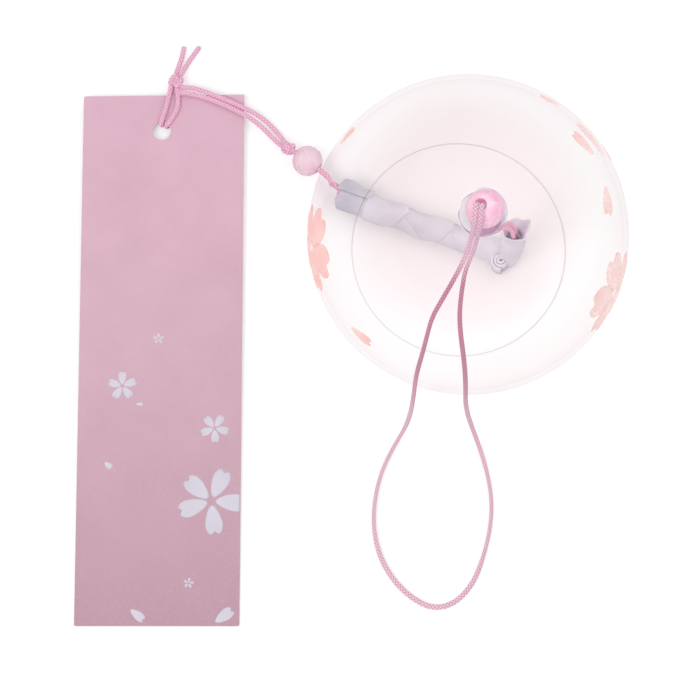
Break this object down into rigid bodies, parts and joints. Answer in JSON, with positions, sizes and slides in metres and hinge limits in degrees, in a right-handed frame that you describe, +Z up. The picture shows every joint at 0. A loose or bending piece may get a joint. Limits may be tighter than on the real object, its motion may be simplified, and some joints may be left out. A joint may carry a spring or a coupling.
{
  "type": "furin wind bell",
  "caption": "Round frosted glass wind bell with a hanging loop, a wrapped glass tube clapper, beads and a paper card, laid down on a table.",
  "frame": {"origin": "middle of the table area that the bell and card cover, on the table top", "axes": "+Z up from the table, +Y along the card from its foot to its hole, +X from the card to the bell"},
  "size_m": [0.1407, 0.1516, 0.0764],
  "materials": {
    "bell_glass": "frosted, milky, with painted blossom petals",
    "pink_glass": "crackled pink glass bead",
    "clear_disc": "clear",
    "tube_glass": "clear",
    "wrap_paper": "soft foam-backed packing paper",
    "card_paper": "matt pink card with white blossom print",
    "pink_cord": "fine braided pink cord"
  },
  "bodies": {
    "bell": {"glass_bell": "bell_glass", "crown_washer": "clear_disc", "stopper_knot": "pink_cord", "neck_strand_left": "pink_cord", "neck_strand_right": "pink_cord", "inner_strand_left": "pink_cord", "inner_strand_right": "pink_cord"},
    "top_bead": {"top_bead": "pink_glass"},
    "hanger": {"hanging_loop": "pink_cord"},
    "clapper": {"clapper_wrap": "wrap_paper", "clapper_tube": "tube_glass", "clapper_knot": "pink_cord", "clapper_strand_left": "pink_cord", "clapper_strand_right": "pink_cord"},
    "pendant": {"pendant_strand_upper": "pink_cord", "pendant_strand_lower": "pink_cord", "bead_knot": "pink_cord", "card_strand_upper": "pink_cord", "card_strand_lower": "pink_cord", "card_knot": "pink_cord", "card_leg_left": "pink_cord", "card_leg_right": "pink_cord", "card_tail_left": "pink_cord", "card_tail_right": "pink_cord"},
    "lower_bead": {"lower_bead": "pink_glass"},
    "card": {"paper_card": "card_paper"}
  },
  "joints": [
    {"name": "top_bead_spin", "type": "hinge", "parent": "bell", "child": "top_bead", "pos_m": [0.03549, 0.02249, 0.07051], "axis": [-0.2383, 0.0179, 0.971], "continuous": true},
    {"name": "loop_lift", "type": "hinge", "parent": "bell", "child": "hanger", "pos_m": [0.03422, 0.0226, 0.07572], "axis": [-0.9791, 0.2034, 0], "range_deg": [0, 125]},
    {"name": "clapper_turn", "type": "hinge", "parent": "bell", "child": "clapper", "pos_m": [0.04224, 0.02695, 0.017], "axis": [0, 0, 1], "range_deg": [-8, 5]},
    {"name": "pendant_turn", "type": "hinge", "parent": "clapper", "child": "pendant", "pos_m": [-0.00041, 0.03989, 0.0033], "axis": [0, 0, 1], "range_deg": [-2, 8]},
    {"name": "lower_bead_spin", "type": "hinge", "parent": "pendant", "child": "lower_bead", "pos_m": [-0.0109, 0.0502, 0.00392], "axis": [-0.8018, 0.5976, 0], "continuous": true},
    {"name": "card_turn", "type": "hinge", "parent": "pendant", "child": "card", "pos_m": [-0.04912, 0.05912, 0.00161], "axis": [0, 0, 1], "range_deg": [-12, 4]}
  ]
}
